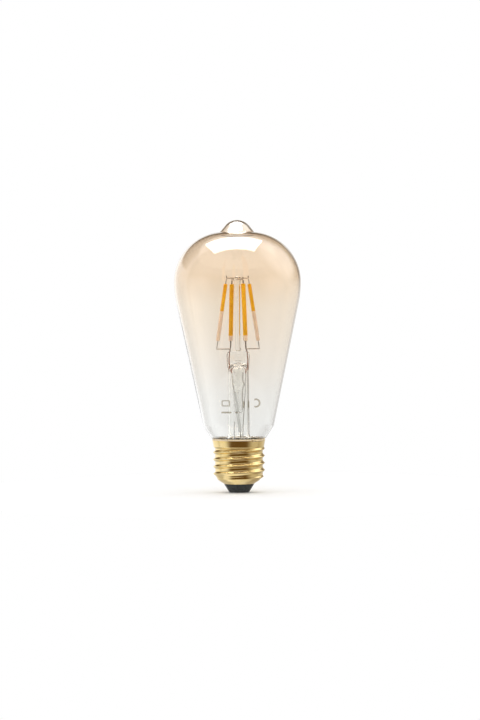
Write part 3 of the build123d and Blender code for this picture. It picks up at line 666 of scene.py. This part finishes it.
def add_floor():
    """Plain pale floor that the bulb's soft shadow falls on; reflections see the studio instead."""
    material, tree = shader("pale_floor")
    grain = noise(tree, place(tree), 30, 2.0)
    colour = ramp(tree, grain, [(0.3, (0.85, 0.85, 0.85)), (0.7, (0.87, 0.87, 0.87))])
    principled(tree, Base_Color=colour, Roughness=0.9, Specular_IOR_Level=0.0)
    rim = [2 * math.pi * n / FLOOR_CORNERS for n in range(FLOOR_CORNERS)]
    verts = [(FLOOR_RADIUS * math.cos(a), FLOOR_RADIUS * math.sin(a), FLOOR_Z) for a in rim]
    floor = mesh_piece("floor", verts, [tuple(range(FLOOR_CORNERS))], material)
    floor.visible_glossy = False


def fall(tree, value, start, end):
    """1 up to the start, 0 from the end, and smooth between them."""
    links = {0: value, 1: start, 2: end, 3: 1.0, 4: 0.0}
    made = node(tree, "ShaderNodeMapRange", links, clamp=True, interpolation_type="SMOOTHSTEP")
    return made.outputs[0]


def climb(tree, value, start, end):
    """0 up to the start, 1 from the end, and smooth between them."""
    return maths(tree, "SUBTRACT", 1.0, fall(tree, value, start, end))


def studio(tree, direction):
    """How bright the room is in a reflection, and the elevation of the direction in degrees."""
    parts = node(tree, "ShaderNodeSeparateXYZ", {"Vector": direction}).outputs
    side = maths(tree, "ABSOLUTE", parts["X"])
    ahead = maths(tree, "MULTIPLY", parts["Y"], -1.0)
    azimuth = maths(tree, "DEGREES", maths(tree, "ARCTAN2", side, ahead))
    height = maths(tree, "DEGREES", maths(tree, "ARCSINE", parts["Z"]))

    def product(*factors):
        result = factors[0]
        for factor in factors[1:]:
            result = maths(tree, "MULTIPLY", result, factor)
        return result

    def brightest(*levels):
        result = levels[0]
        for level in levels[1:]:
            result = maths(tree, "MAXIMUM", result, level)
        return result

    def up_from(value, edge):
        return climb(tree, value, *edge)

    def down_from(value, edge):
        return fall(tree, value, *edge)

    def raised(factor, levels):
        """The first level, with the second one added where the factor is 1."""
        return maths(tree, "MULTIPLY_ADD", factor, levels[1], levels[0])

    beside = product(up_from(azimuth, SIDES_START), down_from(azimuth, SIDES_END))
    sides = product(beside, raised(down_from(height, SIDES_DIM), SIDES_LEVEL))
    behind = up_from(azimuth, BACKDROP_START)
    backdrop = product(behind, raised(up_from(height, BACKDROP_FOOT), BACKDROP_LEVEL))
    front = product(up_from(height, FRONT_FOOT), FRONT_LEVEL)
    below = product(down_from(height, BELOW_EDGE), BELOW_LEVEL)
    level = brightest(sides, backdrop, front, below)

    under_top = down_from(height, STRIP_TOP)
    strip = product(up_from(height, STRIP_FOOT), under_top, up_from(azimuth, STRIP_START))
    patch = product(up_from(parts["X"], PATCH_SIDE), up_from(azimuth, PATCH_START))
    patch = product(patch, up_from(height, PATCH_FOOT), under_top, PATCH_DEPTH)
    dark = product(brightest(strip, patch), STRIP_DEPTH)
    level = product(level, maths(tree, "SUBTRACT", 1.0, dark))
    level = product(level, spread(tree, parts["X"], *LEFT_TO_RIGHT))

    links = {0: direction, 1: tuple(Vector(WINDOW_DIRECTION).normalized())}
    facing = node(tree, "ShaderNodeVectorMath", links, operation="DOT_PRODUCT").outputs["Value"]
    window = product(up_from(facing, WINDOW_EDGE), WINDOW_STRENGTH)
    return maths(tree, "ADD", level, window), height


def add_world():
    """White to the camera, and through glass too except high up, where the room itself is seen;
    even light, a little more from above, to matt surfaces; and the room in reflections."""
    world = bpy.data.worlds.new("studio")
    bpy.context.scene.world = world
    world.use_nodes = True
    tree = world.node_tree
    tree.nodes.clear()
    direction = node(tree, "ShaderNodeTexCoord").outputs["Generated"]
    level, height = studio(tree, direction)
    soft = spread(tree, height, -90, 90, FILL_BELOW, FILL_ABOVE)
    path = node(tree, "ShaderNodeLightPath").outputs
    mirrored = maths(tree, "GREATER_THAN", path["Glossy Depth"], 0.5)
    scattered = maths(tree, "GREATER_THAN", path["Diffuse Depth"], 0.5)
    indirect = maths(tree, "SUBTRACT", 1.0, path["Is Camera Ray"])
    above = maths(tree, "MULTIPLY", climb(tree, height, *DARK_OVERHEAD), indirect)

    def mix(factor, first, second):
        links = {0: factor, 6: first, 7: second}
        return node(tree, "ShaderNodeMix", links, data_type="RGBA").outputs[2]

    tone = ramp(tree, level, [(0.0, DARK_STUDIO), (1.0, (1, 1, 1))])
    links = {0: tone, "Scale": maths(tree, "MAXIMUM", level, 1.0)}
    reflected = node(tree, "ShaderNodeVectorMath", links, operation="SCALE").outputs[0]
    seen = mix(maths(tree, "MAXIMUM", mirrored, above), (1, 1, 1, 1), reflected)
    grey = node(tree, "ShaderNodeCombineColor", {0: soft, 1: soft, 2: soft}).outputs[0]
    colour = mix(scattered, seen, grey)
    light = node(tree, "ShaderNodeBackground", {"Color": colour, "Strength": 1.0})
    node(tree, "ShaderNodeOutputWorld", {"Surface": light.outputs[0]})


def set_light_paths():
    """Enough bounces for a ray through the glass, the stem and the glass again."""
    scene = bpy.context.scene
    scene.view_settings.view_transform = "Standard"
    scene.cycles.max_bounces = 32
    scene.cycles.transmission_bounces = 32
    scene.cycles.glossy_bounces = 10
    scene.cycles.diffuse_bounces = 4
    scene.cycles.transparent_max_bounces = 16


# ---------------------------------------------------------------- make it all
def finish_nodes(materials):
    """Gives each CAD node the material of its own slot."""
    for row in frame["record"]["subparts"]:
        for material_slot in nodes[row["node"]].material_slots:
            material_slot.material = materials[row["material_slot"]]


materials = make_materials()
finish_nodes(materials)
add_envelope(materials)
add_shell(materials)
add_camera()
add_floor()
add_world()
add_overhead()
set_light_paths()
